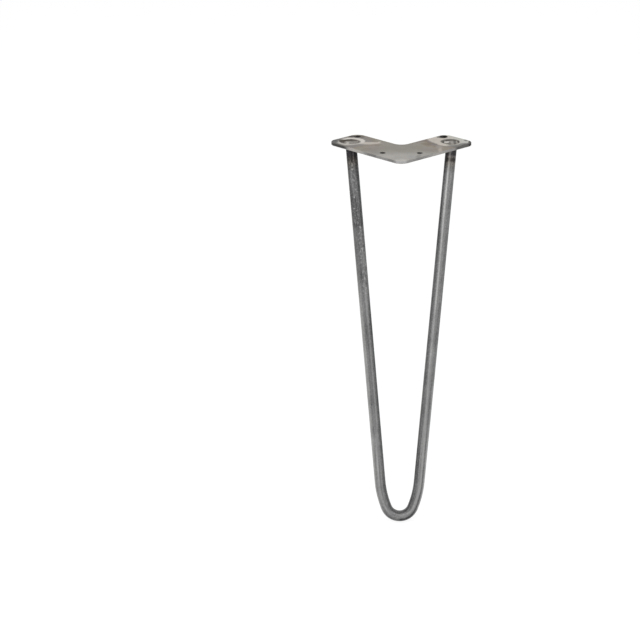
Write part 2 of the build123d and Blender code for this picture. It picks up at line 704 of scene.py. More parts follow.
class Finish:
    """What the finishes share: a material with one shader, and its place in millimetres."""

    title: str
    relief_depth: float = 0.05
    grain_depth: float = 0.03

    def material(self) -> bpy.types.Material:
        """Builds the material.

        Returns:
            The finished material.
        """
        made = bpy.data.materials.new(self.title)
        wiring = Wiring.blank(made)
        leave = wiring.node("OutputMaterial")
        shader = wiring.node("BsdfPrincipled", {"Metallic": 1.0})
        wiring.feed(leave.inputs["Surface"], shader.outputs["BSDF"])
        own = wiring.node("TexCoord").outputs["Object"]
        place = wiring.vector("MULTIPLY", own, (MM_PER_M, MM_PER_M, MM_PER_M))
        self.dress(wiring, shader, place)
        return made

    def dress(self, wiring: Wiring, shader: bpy.types.Node, place: Socket) -> None:
        """Feeds the shader; each finish has its own."""
        raise NotImplementedError

    @staticmethod
    def weigh(wiring: Wiring, start: Feed, parts: Sequence[Tuple[Feed, float]]) -> Feed:
        """Adds up parts of a tone.

        Args:
            wiring: The material's tree.
            start: The tone to begin with.
            parts: Each part with its weight.

        Returns:
            The sum.
        """
        total = start
        for part, weight in parts:
            total = wiring.sum("MULTIPLY_ADD", part, weight, total)
        return total

    @staticmethod
    def overlaid(wiring: Wiring, place: Socket, tone: Socket, overlays: Sequence[Overlay]) -> Socket:
        """Lays patches of colour over a tone, one after another.

        Args:
            wiring: The material's tree.
            place: Where they are read, in millimetres.
            tone: The colour below.
            overlays: The patches, the uppermost last.

        Returns:
            The colour with them laid on.
        """
        for overlay in overlays:
            tone = overlay.lay(wiring, place, tone)
        return tone

    def roughen(self, wiring: Wiring, shader: bpy.types.Node, relief: Socket, grain: Socket) -> None:
        """Gives the surface its lines and, finer, its grain.

        Args:
            wiring: The material's tree.
            shader: The surface shader.
            relief: Height of the lines, about 0 to 1.
            grain: Height of the grain, about 0 to 1.
        """
        coarse = {"Height": relief, "Distance": self.relief_depth / MM_PER_M}
        lined = wiring.node("Bump", coarse).outputs["Normal"]
        fine = {"Height": grain, "Distance": self.grain_depth / MM_PER_M, "Normal": lined}
        wiring.feed(shader.inputs["Normal"], wiring.node("Bump", fine).outputs["Normal"])


@dataclass(frozen=True)
class BarPath:
    """The bar's centre line, in millimetres: prong, slow flank bend and tight nose, on each side.

    Attributes:
        end_x: How far each bar end is from the middle plane.
        end_y: Where the bar ends are along Y.
        foot_y: Where the middle of the nose is along Y.
        foot_drop: How far the middle of the nose is below the bar ends.
        nose_radius: Radius of the nose.
        nose_sweep: Turn of the whole nose, in degrees.
        flank_radius: Radius of the flank bends.
    """

    end_x: float = 54.66
    end_y: float = 44.69
    foot_y: float = -56.44
    foot_drop: float = 400.4
    nose_radius: float = 15.7
    nose_sweep: float = 135.5
    flank_radius: float = 101.0

    @property
    def lean_run(self) -> float:
        """How far the leg leans forward, from its ends to its foot."""
        return self.end_y - self.foot_y

    @property
    def length(self) -> float:
        """Length of the leg in its own plane."""
        return math.hypot(self.lean_run, self.foot_drop)

    @property
    def half_sweep(self) -> float:
        """Half the turn of the nose, in radians."""
        return math.radians(self.nose_sweep / 2)

    @property
    def flank_centre(self) -> Tuple[float, float]:
        """Middle of a flank bend.

        Returns:
            How far it is across from the bar end on its own side, and how far below it.
        """
        offset = self.flank_radius - self.nose_radius
        drop = self.length - self.nose_radius - offset * math.cos(self.half_sweep)
        return (self.end_x + offset * math.sin(self.half_sweep), drop)

    @property
    def taper(self) -> float:
        """How far a prong slopes inward, in radians."""
        across, drop = self.flank_centre
        return math.atan2(across, drop) - math.asin(self.flank_radius / math.hypot(across, drop))

    @property
    def prong(self) -> float:
        """Length of a straight prong."""
        return math.sqrt(math.hypot(*self.flank_centre) ** 2 - self.flank_radius**2)

    @property
    def nose_run(self) -> float:
        """Length of half the nose."""
        return self.nose_radius * self.half_sweep

    @property
    def flank_run(self) -> float:
        """Length of a flank bend."""
        return self.flank_radius * (math.pi / 2 - self.taper - self.half_sweep)

    @property
    def run(self) -> float:
        """Length of half the bar, from the middle of the nose to a bar end."""
        return self.nose_run + self.flank_run + self.prong

    def straighten(self, wiring: Wiring, place: Socket) -> Socket:
        """Lays the bent bar straight.

        Args:
            wiring: The material's tree.
            place: A place on the bar, in millimetres.

        Returns:
            Along the bar from the middle of the nose, then inward and forward of its centre line.
        """
        pitch = -math.atan2(self.foot_drop, self.lean_run)
        half = self.half_sweep
        taper = self.taper
        offset = self.flank_radius - self.nose_radius
        bend_end = math.pi / 2 - taper

        level = wiring.node(
            "Mapping",
            {
                "Vector": place,
                "Location": (0.0, -self.end_y * math.cos(pitch), -self.end_y * math.sin(pitch)),
                "Rotation": (pitch, 0.0, 0.0),
            },
            vector_type="POINT",
        )
        across, up, forward = wiring.part(level.outputs["Vector"])
        side = wiring.sum("SIGN", across)
        out = wiring.sum("ABSOLUTE", across)

        rise = wiring.sum("ADD", up, self.length - self.nose_radius)
        nose_turn = wiring.sum("ARCTAN2", out, wiring.times(rise, -1.0))
        nose_reach = wiring.measure("LENGTH", wiring.join(out, rise, 0.0))
        nose_in = wiring.sum("SUBTRACT", self.nose_radius, nose_reach)
        nose_along = wiring.times(nose_turn, self.nose_radius)

        flank_out = wiring.sum("ADD", out, offset * math.sin(half))
        flank_rise = wiring.sum("SUBTRACT", rise, offset * math.cos(half))
        flank_turn = wiring.sum("ARCTAN2", flank_out, wiring.times(flank_rise, -1.0))
        flank_reach = wiring.measure("LENGTH", wiring.join(flank_out, flank_rise, 0.0))
        flank_in = wiring.sum("SUBTRACT", self.flank_radius, flank_reach)
        flank_start = self.nose_run - self.flank_radius * half
        flank_along = wiring.sum("MULTIPLY_ADD", flank_turn, self.flank_radius, flank_start)

        prong_place = wiring.join(wiring.sum("SUBTRACT", out, self.end_x), up, 0.0)
        inward = (-math.cos(taper), math.sin(taper), 0.0)
        upward = (math.sin(taper), math.cos(taper), 0.0)
        prong_in = wiring.measure("DOT_PRODUCT", prong_place, inward)
        prong_along = wiring.sum("ADD", wiring.measure("DOT_PRODUCT", prong_place, upward), self.run)

        on_nose = wiring.sum("LESS_THAN", nose_turn, half)
        on_prong = wiring.sum("GREATER_THAN", flank_turn, bend_end)
        bend_in = wiring.between(on_nose, flank_in, nose_in)
        bend_along = wiring.between(on_nose, flank_along, nose_along)
        along = wiring.times(wiring.between(on_prong, bend_along, prong_along), side)
        return wiring.join(along, wiring.between(on_prong, bend_in, prong_in), forward)


class BarSpot(NamedTuple):
    """A place on the bar laid straight, in millimetres.

    Attributes:
        reach: Along the bar from the middle of its nose.
        to_end: On along the bar to its end.
        inward: Off the centre line, towards the other prong.
        sides: For each side, 1 on it and 0 on the other.
    """

    reach: Socket
    to_end: Socket
    inward: Socket
    sides: Dict[Side, Socket]


@dataclass(frozen=True)
class BarMark:
    """A light or dark mark on the bar, in millimetres.

    Attributes:
        lightens: How much lighter the steel is there, or darker where it is below zero.
        side: The side that it is on, or none for both.
        along: Fades along the bar, from the middle of its nose.
        from_end: Fades along the bar, from its end.
        course: Added up, how far inward of the centre line the mark's middle runs.
        across: Fades inward, from the mark's middle.
    """

    lightens: float
    side: Optional[Side] = None
    along: Tuple[Fade, ...] = ()
    from_end: Tuple[Fade, ...] = ()
    course: Tuple[Fade, ...] = ()
    across: Tuple[Fade, ...] = ()

    def mask(self, wiring: Wiring, spot: BarSpot) -> Feed:
        """Makes a mask of the mark.

        Args:
            wiring: The material's tree.
            spot: Where it is read.

        Returns:
            1 on the mark and 0 off it.
        """
        beside = spot.inward
        for bend in self.course:
            beside = wiring.sum("SUBTRACT", beside, bend.follow(wiring, spot.reach))
        factors: List[Feed] = [fade.follow(wiring, spot.reach) for fade in self.along]
        factors += [fade.follow(wiring, spot.to_end) for fade in self.from_end]
        factors += [fade.follow(wiring, beside) for fade in self.across]
        if self.side is not None:
            factors.append(spot.sides[self.side])
        return wiring.times(*factors)


# Painted highlight streaks along the front of each prong
STREAK_BORDERS = (Fade(-1.9, -0.3), Fade(1.9, 0.3))
LEFT_HIGHLIGHT_STREAK = BarMark(
    0.15,
    Side.LEFT,
    course=(Fade(45.0, 130.0, -1.5, 1.8), Fade(25.0, 5.0, 0.0, 3.8)),
    across=STREAK_BORDERS,
)
RIGHT_HIGHLIGHT_STREAK = BarMark(
    0.15,
    Side.RIGHT,
    course=(
        Fade(50.0, 230.0, -1.3, 0.4),
        Fade(300.0, 345.0, 0.0, 0.9),
        Fade(60.0, 10.0),
        Fade(20.0, 4.0, 0.0, 1.8),
    ),
    across=STREAK_BORDERS,
)

# Scale on the upper part of the left prong, and a band of painted shade on the outer side of the right one
LEFT_SCALE = BarMark(-0.22, Side.LEFT, along=(Fade(215.0, 290.0),), across=(Fade(2.5, -1.0),))
RIGHT_SHADE_BAND = BarMark(-0.10, Side.RIGHT, across=(Fade(-1.5, -2.7), Fade(-4.9, -3.9)))


@dataclass(frozen=True)
class BarSteel(Finish):
    """Drawn bar with dark scale on it, with painted highlight streaks along its length and painted shade
    and shadow in places.
    """

    title = "bar_steel"
    relief_depth = 0.06
    path: BarPath = field(default_factory=BarPath)
    dark_grey: Colour = paint(56, 56, 58)
    light_grey: Colour = paint(182, 182, 181)
    end_grey: Colour = paint(160, 155, 149)
    end_dark: Colour = paint(96, 91, 86)
    level: float = 0.42
    line_length: float = 90.0
    line_width: float = 1.7
    line_contrast: float = 0.29
    grain_size: float = 1.5
    grain_contrast: float = 0.16
    cloud_size: float = 26.0
    cloud_contrast: float = 0.10
    fleck_size: float = 1.8
    fleck_shape: Point = (0.6, 1.0, 1.0)
    fleck_border: Fade = Fade(0.68, 0.97)
    flecks: BarMark = BarMark(
        0.40,
        Side.LEFT,
        along=LEFT_SCALE.along,
        from_end=(Fade(14.0, 22.0),),
        course=(Fade(300.0, 350.0, 2.0, -0.5),),
        across=(Fade(-4.4, -1.6), Fade(4.4, 1.6)),
    )
    marks: Tuple[BarMark, ...] = (
        # Shade on the inner side of both prongs and on the outer side of the right one, deeper in places
        BarMark(-0.20, across=(Fade(-1.0, 5.0),)),
        BarMark(-0.13, Side.RIGHT, across=(Fade(0.5, -4.5),)),
        BarMark(
            -0.08,
            Side.LEFT,
            along=(Fade(250.0, 235.0), Fade(165.0, 180.0)),
            across=(Fade(1.5, 3.5),),
        ),
        BarMark(
            -0.10,
            Side.RIGHT,
            along=(Fade(286.0, 298.0), Fade(330.0, 322.0)),
            across=(Fade(1.5, 3.5),),
        ),
        BarMark(-0.12, Side.RIGHT, along=(Fade(308.0, 330.0),), across=(Fade(3.0, 4.4),)),
        replace(RIGHT_SHADE_BAND, along=(Fade(340.0, 310.0), Fade(282.0, 296.0))),
        replace(RIGHT_SHADE_BAND, along=(Fade(252.0, 238.0),)),
        # Painted light on the outer sides
        BarMark(
            0.26,
            Side.LEFT,
            along=(Fade(305.0, 255.0), Fade(60.0, 130.0)),
            across=(Fade(-1.0, -5.4),),
        ),
        BarMark(0.31, Side.LEFT, along=(Fade(130.0, 60.0),), across=(Fade(-3.4, -5.2),)),
        BarMark(
            0.08,
            Side.LEFT,
            along=(Fade(262.0, 278.0), Fade(350.0, 335.0, 0.6, 1.0)),
            across=(Fade(-1.0, -4.0),),
        ),
        BarMark(0.28, Side.RIGHT, along=(Fade(190.0, 140.0),), across=(Fade(-3.2, -5.2),)),
        # Scale and dull stretches
        LEFT_SCALE,
        BarMark(
            -0.15,
            Side.LEFT,
            along=(Fade(275.0, 215.0), Fade(92.0, 135.0)),
            across=(Fade(-3.4, -1.4), Fade(1.8, -0.2)),
        ),
        BarMark(-0.09, Side.LEFT, along=(Fade(315.0, 355.0),)),
        BarMark(
            -0.10,
            Side.RIGHT,
            along=(Fade(110.0, 60.0), Fade(6.0, 28.0)),
            across=(Fade(-0.8, 1.0), Fade(4.4, 2.6)),
        ),
        BarMark(
            -0.13,
            Side.LEFT,
            along=(Fade(150.0, 138.0), Fade(96.0, 108.0)),
            across=(Fade(-1.2, -2.2), Fade(-4.6, -3.8)),
        ),
        # Cleaner stretches
        BarMark(
            0.11,
            Side.LEFT,
            along=(Fade(360.0, 372.0), Fade(400.0, 390.0)),
            across=(Fade(-3.6, -2.4), Fade(1.2, -0.4)),
        ),
        BarMark(0.10, Side.LEFT, along=(Fade(312.0, 320.0), Fade(336.0, 328.0))),
        BarMark(
            0.11,
            Side.LEFT,
            along=(Fade(248.0, 258.0), Fade(312.0, 300.0)),
            across=(Fade(2.2, 3.6),),
        ),
        BarMark(
            0.06,
            Side.LEFT,
            along=(Fade(112.0, 100.0), Fade(30.0, 50.0)),
            across=(Fade(0.8, 1.8), Fade(3.8, 2.8)),
        ),
        BarMark(
            0.08,
            Side.RIGHT,
            along=(Fade(215.0, 195.0), Fade(20.0, 60.0)),
            across=(Fade(2.6, 1.4),),
        ),
        BarMark(0.09, Side.RIGHT, from_end=(Fade(28.0, 36.0), Fade(68.0, 58.0))),
        BarMark(0.03, Side.RIGHT, along=(Fade(242.0, 252.0), Fade(296.0, 284.0))),
        BarMark(0.06, Side.RIGHT, along=(Fade(166.0, 176.0), Fade(208.0, 196.0))),
        BarMark(0.13, Side.RIGHT, along=(Fade(350.0, 370.0),), across=(Fade(2.2, 3.4), Fade(4.6, 3.8))),
        # Painted highlight streaks, in places brighter or duller
        LEFT_HIGHLIGHT_STREAK,
        replace(LEFT_HIGHLIGHT_STREAK, lightens=-0.12, along=(Fade(252.0, 272.0), Fade(374.0, 352.0))),
        RIGHT_HIGHLIGHT_STREAK,
        replace(RIGHT_HIGHLIGHT_STREAK, lightens=0.08, along=(Fade(160.0, 130.0), Fade(4.0, 24.0))),
        replace(RIGHT_HIGHLIGHT_STREAK, lightens=0.17, along=(Fade(232.0, 252.0), Fade(296.0, 284.0))),
        replace(RIGHT_HIGHLIGHT_STREAK, lightens=0.04, along=(Fade(284.0, 296.0), Fade(362.0, 332.0))),
        replace(RIGHT_HIGHLIGHT_STREAK, lightens=0.21, along=(Fade(335.0, 362.0),)),
        # Painted shade under the foot
        BarMark(-0.25, along=(Fade(24.0, 8.0),), across=(Fade(-0.2, -5.0),)),
        # Painted shadow of the plate on the tops of the prongs, with a band of painted glints in it on the
        # right
        BarMark(-0.24, Side.LEFT, from_end=(Fade(25.0, 12.0),)),
        BarMark(-0.31, Side.RIGHT, from_end=(Fade(23.0, 18.5),)),
        BarMark(0.19, Side.RIGHT, from_end=(Fade(18.2, 16.4), Fade(13.4, 15.2))),
    )
    heat_reach: float = 34.0
    heat_share: float = 0.35
    sawn_height: Fade = Fade(-2.0, -1.6)
    scale_gloss: float = 0.3
    roughness: Tuple[float, float] = (0.56, 0.34)

    def locate(self, wiring: Wiring, bar_place: Socket) -> BarSpot:
        """Sorts a place on the straight bar by side.

        Args:
            wiring: The material's tree.
            bar_place: The place, as the path gives it.

        Returns:
            The place as the marks take it.
        """
        along, inward, _ = wiring.part(bar_place)
        reach = wiring.sum("ABSOLUTE", along)
        on_left = wiring.sum("LESS_THAN", along, 0.0)
        sides = {Side.LEFT: on_left, Side.RIGHT: wiring.sum("SUBTRACT", 1.0, on_left)}
        return BarSpot(reach, wiring.sum("SUBTRACT", self.path.run, reach), inward, sides)

    def fleck_mask(self, wiring: Wiring, bar_place: Socket, spot: BarSpot) -> Feed:
        """Strews bright flecks over the scale.

        Args:
            wiring: The material's tree.
            bar_place: The place on the straight bar.
            spot: The same place as the marks take it.

        Returns:
            1 in a fleck.
        """
        stretched = wiring.vector("MULTIPLY", bar_place, self.fleck_shape)
        spread = wiring.effect(MOTTLE, Place=stretched, Size=self.fleck_size)
        bright = self.fleck_border.follow(wiring, spread["Tone"])
        return wiring.times(bright, self.flecks.mask(wiring, spot))

    def sawn_tone(self, wiring: Wiring, place: Socket, scratches: Socket) -> Socket:
        """Colours the sawn ends, which the disc's scratches lighten."""
        tone = wiring.tint(scratches, self.end_dark, self.end_grey)
        return self.overlaid(wiring, place, tone, END_MARKS_AND_GLINTS)

    def dress(self, wiring: Wiring, shader: bpy.types.Node, place: Socket) -> None:
        """Feeds the shader.

        Args:
            wiring: The material's tree.
            shader: The surface shader.
            place: Where it is read, in millimetres.
        """
        bar_place = self.path.straighten(wiring, place)
        spot = self.locate(wiring, bar_place)
        lines = wiring.effect(DRAW_MARKS, Place=bar_place, Length=self.line_length, Width=self.line_width)
        grain = wiring.effect(MOTTLE, Place=bar_place, Size=self.grain_size)["Tone"]
        clouds = wiring.effect(MOTTLE, Place=bar_place, Size=self.cloud_size)["Tone"]
        parts = [
            (wiring.centred(lines["Tone"]), self.line_contrast),
            (wiring.centred(grain), self.grain_contrast),
            (wiring.centred(clouds), self.cloud_contrast),
            (self.fleck_mask(wiring, bar_place, spot), self.flecks.lightens),
        ]
        parts += [(mark.mask(wiring, spot), mark.lightens) for mark in self.marks]
        level = self.weigh(wiring, self.level, parts)
        tone = wiring.tint(level, self.dark_grey, self.light_grey)
        heat = wiring.effect(HEAT_TINT, Distance=spot.to_end, Reach=self.heat_reach)
        heat_share = wiring.times(heat["Strength"], self.heat_share)
        tone = wiring.tint(heat_share, tone, heat["Colour"], Blend.HUE)

        arcs = GRINDER.marks(wiring, place)
        _, _, up = wiring.part(place)
        sawn = self.sawn_height.follow(wiring, up)
        tone = wiring.tint(sawn, tone, self.sawn_tone(wiring, place, arcs["Tone"]))
        wiring.feed(shader.inputs["Base Color"], tone)
        scaly = replace(LEFT_SCALE, across=()).mask(wiring, spot)
        gloss = wiring.between(scaly, level, wiring.times(level, self.scale_gloss))
        wiring.feed(shader.inputs["Roughness"], wiring.between(gloss, *self.roughness))
        self.roughen(wiring, shader, wiring.between(sawn, lines["Height"], arcs["Height"]), grain)


@dataclass(frozen=True)
class ScrewPair:
    """Two like screw holes, one on each arm of the plate, in millimetres."""

    x: float
    y: float
    radius: float

    @classmethod
    def at_mount(cls, mount: Dict[str, Any]) -> "ScrewPair":
        """Reads a pair of holes from the mount that names them."""
        sizes = mount["dims"]
        return cls(sizes["spacing_x_mm"] / 2, mount["pos_m"][1] * MM_PER_M, sizes["hole_r_mm"])


@dataclass(frozen=True)
class PlateSteel(Finish):
    """Flat sheet, ground bright round the welds and tinted by their heat, with painted shade in the weld
    hollows and screw holes and painted highlights on some edges and spots.
    """

    title = "plate_steel"
    screws: Tuple[ScrewPair, ...]
    weld_place: Point
    web_grey: Colour = paint(135, 131, 122)
    front_grey: Colour = paint(161, 158, 153)
    warm_ground: Colour = paint(187, 180, 171)
    cool_ground: Colour = paint(181, 180, 172)
    ring_grey: Colour = paint(202, 197, 190)
    scale_grey: Colour = paint(90, 89, 87)
    tip_edge_grey: Colour = paint(70, 69, 68)
    hollow_shade_grey: Colour = paint(88, 84, 78)
    cut_grey: Colour = paint(144, 142, 141)
    hole_shade_grey: Colour = paint(62, 58, 57)
    under_grey: Colour = paint(112, 110, 107)
    edge_facing: Fade = Fade(0.6, 0.3)
    under_facing: Fade = Fade(-0.6, -0.8)
    cloud_size: float = 14.0
    cloud_drift: Point = (4.0, 4.0, 0.0)
    cloud_contrast: float = 0.10
    fray_size: float = 4.0
    fray_drift: Point = (3.0, 3.0, 0.0)
    grain_size: float = 1.4
    grain_contrast: float = 0.10
    line_length: float = 40.0
    line_width: float = 0.9
    line_contrast: float = 0.12
    cut_length: float = 6.0
    cut_width: float = 0.7
    pit_size: float = 1.7
    pit_cover: float = 0.16
    pit_share: float = 0.3
    disc_share: float = 0.8
    heat_reach: float = 45.0
    heat_spread: Fade = Fade(0.0, 1.0, -6.0, 6.0)
    heat_shares: Tuple[float, float] = (0.45, 0.8)
    front_fade: Fade = Fade(14.0, -14.0)
    cool_fade: Fade = Fade(42.0, 62.0)
    dark_tips: Fade = Fade(56.0, 62.0)
    hole_wall: Tuple[float, float] = (0.3, 0.1)
    wear_radius: float = 0.7
    wear_and_highlight_shares: Tuple[float, float] = (0.3, 0.9)
    # Places where the edges carry painted highlights: the front corner and the front-left edge
    edge_highlight_places: Tuple[Patch, ...] = (
        Patch(0.0, -30.3, 14.0, 8.0, 0.0, 0.5),
        Patch(-50.5, 16.1, 20.0, 8.0, -45.0, 0.4),
    )
    roughness: Tuple[float, float] = (0.48, 0.46)
    dark_mark_roughness: float = 0.95
    ground_places: Tuple[Patch, ...] = (
        Patch(60.0, 60.0, 64.0, 62.0, 0.0, 0.05),
        Patch(48.5, 37.0, 19.0, 17.0, 0.0, 0.1),
        Patch(-33.5, 38.5, 22.0, 9.5, 6.0, 0.4, 0.9),
        Patch(-25.2, 40.5, 11.0, 3.2, 62.0, 0.5),
    )
    left_ring: Patch = Patch(-53.9, 46.2, 29.2, 29.2, 0.0, 0.07)
    ring_losses: Tuple[Tuple[Fade, Fade, float], ...] = (
        (Fade(-58.0, -49.0), Fade(43.0, 35.0), -0.5),
        (Fade(-59.0, -65.0), Fade(38.0, 45.0), -0.3),
    )
    hollows: Tuple[Patch, ...] = (
        Patch(-55.3, 44.2, 22.6, 19.4, 0.0, 0.08),
        Patch(52.8, 46.8, 20.8, 20.8, 0.0, 0.07),
    )
    # Temper colours that the heat spread over the arms, and the scale at the left tip
    heat_stains: Tuple[Overlay, ...] = (
        Overlay(Patch(23.0, 51.0, 20.0, 10.0, 45.0, 0.5, 0.6), paint(112, 100, 96)),
        Overlay(Patch(29.0, 38.0, 15.0, 8.0, 10.0, 0.5, 0.6), paint(112, 102, 85)),
        Overlay(Patch(32.0, 14.0, 20.0, 16.0, 0.0, 0.6, 0.4), paint(132, 120, 116)),
        Overlay(Patch(50.0, 18.0, 18.0, 20.0, 0.0, 0.5, 0.7), paint(134, 127, 115)),
        Overlay(Patch(-30.0, 20.0, 14.0, 26.0, 0.0, 0.6, 0.55), paint(134, 123, 118)),
        Overlay(Patch(-72.0, 39.0, 12.0, 30.0, 0.0, 0.25, 0.95), paint(79, 78, 77)),
    )
    # Dull and rubbed marks with ragged borders, with painted glints among them
    worn_marks_and_glints: Tuple[Overlay, ...] = (
        Overlay(Patch(-66.0, 32.0, 22.0, 7.0, -45.0, 0.5, 0.8), paint(90, 88, 85)),
        Overlay(Patch(66.2, 32.8, 27.0, 12.0, 42.0, 0.3, 0.8), paint(96, 95, 93)),
        Overlay(Patch(67.5, 33.6, 18.0, 3.6, 44.0, 0.5, 0.9), paint(66, 65, 63)),
        Overlay(Patch(57.0, 30.5, 14.0, 9.0, 0.0, 0.5, 0.65), paint(102, 100, 96)),
        Overlay(Patch(40.5, 23.0, 8.0, 14.0, 0.0, 0.6, 0.55), paint(165, 158, 150)),
        Overlay(Patch(-67.5, 53.0, 6.0, 7.0, 0.0, 0.5, 0.7), paint(84, 82, 79)),
        Overlay(Patch(-27.5, -2.0, 9.0, 12.0, 0.0, 0.6, 0.5), paint(128, 125, 121)),
        Overlay(Patch(-63.2, 31.5, 5.0, 6.0, 0.0, 0.5, 0.7), paint(80, 77, 74)),
        # Painted glint at the right tip
        Overlay(Patch(69.5, 44.5, 5.0, 9.0, 0.0, 0.5, 0.6), paint(192, 192, 187)),
        Overlay(Patch(-29.0, 5.0, 16.0, 11.0, 0.0, 0.6, 0.5), paint(127, 121, 115)),
        Overlay(Patch(-64.5, 36.5, 14.0, 5.0, -50.0, 0.4, 0.9), paint(182, 178, 171)),
        Overlay(Patch(-57.0, 31.8, 10.0, 5.0, 0.0, 0.4, 0.8), paint(176, 171, 164)),
        Overlay(Patch(18.5, -12.0, 16.0, 5.0, 75.0, 0.6, 0.6), paint(114, 112, 108)),
        Overlay(Patch(11.0, -15.0, 8.0, 12.0, 0.0, 0.6, 0.5), paint(148, 148, 150)),
        Overlay(Patch(-16.0, -14.0, 13.0, 16.0, 0.0, 0.6, 0.5), paint(172, 169, 163)),
        Overlay(Patch(41.5, 12.0, 4.0, 15.0, 0.0, 0.6, 0.6), paint(178, 171, 162)),
        # Painted highlight near the front corner
        Overlay(Patch(0.0, -27.0, 14.0, 9.0, 0.0, 0.6, 0.7), paint(178, 175, 170)),
    )
    # Bright and dull stretches of the cut edges, with painted highlights among them
    cut_marks_and_highlights: Tuple[Overlay, ...] = (
        # Painted highlight at the front corner
        Overlay(Patch(0.0, -30.3, 13.0, 7.0, 0.0, 0.5, 0.85), paint(172, 171, 171)),
        # Painted highlight on the front-left edge
        Overlay(Patch(-50.5, 16.1, 19.0, 6.0, -45.0, 0.4, 0.9), paint(170, 167, 163)),
        Overlay(Patch(-42.5, 8.1, 7.0, 6.0, -45.0, 0.5, 0.6), paint(172, 169, 165)),
        Overlay(Patch(-31.5, -2.9, 14.0, 6.0, -45.0, 0.4, 0.55), paint(96, 95, 94)),
        Overlay(Patch(-11.0, -23.4, 9.0, 6.0, -45.0, 0.5, 0.45), paint(100, 99, 98)),
        Overlay(Patch(19.0, -15.4, 10.0, 6.0, 45.0, 0.5, 0.35), paint(104, 103, 102)),
        Overlay(Patch(38.5, 4.1, 24.0, 6.0, 45.0, 0.5, 0.5), paint(172, 169, 165)),
        Overlay(Patch(66.0, 31.6, 12.0, 6.0, 45.0, 0.5, 0.5), paint(116, 115, 112)),
        Overlay(Patch(71.0, 38.0, 14.0, 18.0, 0.0, 0.5, 0.6), paint(100, 99, 97)),
    )
    # Dark marks with clean borders, which are rougher than the steel: painted shade in the left weld's
    # dish, and darker smears beside the rear screw holes and at the right tip
    dark_rough_marks: Tuple[Overlay, ...] = (
        DISH_SHADE,
        Overlay(Patch(-54.0, 66.0, 8.0, 7.0, 0.0, 0.5, 0.9), paint(98, 95, 92)),
        Overlay(Patch(-48.2, 65.0, 7.4, 9.0, 0.0, 0.3, 0.9), paint(62, 60, 59)),
        Overlay(Patch(-43.5, 65.0, 6.0, 10.0, 0.0, 0.6, 0.6), paint(112, 109, 105)),
        Overlay(Patch(42.0, 65.0, 7.0, 8.0, 0.0, 0.4, 0.8), paint(106, 104, 101)),
        Overlay(Patch(46.0, 66.6, 9.0, 12.5, 0.0, 0.2), paint(54, 53, 52)),
        Overlay(Patch(75.5, 41.0, 6.0, 24.0, 0.0, 0.3), paint(104, 103, 101)),
        Overlay(Patch(70.0, 52.0, 4.0, 7.0, 0.0, 0.5, 0.8), paint(128, 127, 123)),
    )

    @staticmethod
    def widest(wiring: Wiring, place: Socket, patches: Sequence[Patch]) -> Feed:
        """Joins patches into one mask.

        Args:
            wiring: The material's tree.
            place: Where they are read, in millimetres.
            patches: The patches.

        Returns:
            The largest share of any of them.
        """
        joined: Feed = 0.0
        for patch in patches:
            joined = wiring.sum("MAXIMUM", joined, patch.mask(wiring, place))
        return joined

    @staticmethod
    def mirrored(wiring: Wiring, place: Socket) -> Socket:
        """Folds a place over to the right arm and down to the plate's face."""
        across, along, _ = wiring.part(place)
        return wiring.join(wiring.sum("ABSOLUTE", across), along, 0.0)

    def ragged(self, wiring: Wiring, place: Socket, cloud_drift: Socket) -> Socket:
        """Shifts a place to and fro, which makes the borders of what is laid out on it ragged.

        Args:
            wiring: The material's tree.
            place: Where it is read, in millimetres.
            cloud_drift: Drift of the soft clouds.

        Returns:
            The shifted place.
        """
        fray = wiring.effect(MOTTLE, Place=place, Size=self.fray_size)["Drift"]
        drift = wiring.vector("MULTIPLY", cloud_drift, self.cloud_drift)
        drift = wiring.vector("ADD", drift, wiring.vector("MULTIPLY", fray, self.fray_drift))
        return wiring.vector("ADD", place, drift)

    def sheet_tone(self, wiring: Wiring, place: Socket, worn_place: Socket, clouds: Socket) -> Socket:
        """Colours the sheet as rolling and welding heat left it.

        Args:
            wiring: The material's tree.
            place: Where it is read, in millimetres.
            worn_place: The same, with ragged borders.
            clouds: A soft cloudy tone.

        Returns:
            The sheet's colour, before it was ground.
        """
        across, along, _ = wiring.part(place)
        tone = wiring.tint(self.front_fade.follow(wiring, along), self.web_grey, self.front_grey)
        apart = wiring.measure("DISTANCE", self.mirrored(wiring, place), self.weld_place)
        spread = wiring.sum("ADD", apart, self.heat_spread.follow(wiring, clouds))
        heat = wiring.effect(HEAT_TINT, Distance=spread, Reach=self.heat_reach)
        share = wiring.between(wiring.sum("GREATER_THAN", across, 0.0), *self.heat_shares)
        tone = wiring.tint(wiring.times(heat["Strength"], share), tone, heat["Colour"])
        return self.overlaid(wiring, worn_place, tone, self.heat_stains)

    def ring_mask(self, wiring: Wiring, place: Socket, worn_place: Socket) -> Feed:
        """Makes the bright ring ground round the left weld, which dies out in two places.

        Args:
            wiring: The material's tree.
            place: Where it is read, in millimetres.
            worn_place: The same, with ragged borders.

        Returns:
            1 on the ring.
        """
        across, along, _ = wiring.part(place)
        kept: Feed = 1.0
        for across_fade, along_fade, loss in self.ring_losses:
            lost = wiring.times(across_fade.follow(wiring, across), along_fade.follow(wiring, along))
            kept = wiring.sum("MULTIPLY_ADD", lost, loss, kept)
        return wiring.times(self.left_ring.mask(wiring, worn_place), kept)

    def cut_tone(self, wiring: Wiring, across: Socket, worn_place: Socket) -> Socket:
        """Colours the cut edges, which are darker at the arms' tips.

        Args:
            wiring: The material's tree.
            across: Place along X, in millimetres.
            worn_place: The whole place, with ragged borders.

        Returns:
            The edges' colour.
        """
        darkened = self.dark_tips.follow(wiring, wiring.sum("ABSOLUTE", across))
        tone = wiring.tint(darkened, self.cut_grey, self.tip_edge_grey)
        return self.overlaid(wiring, worn_place, tone, self.cut_marks_and_highlights)

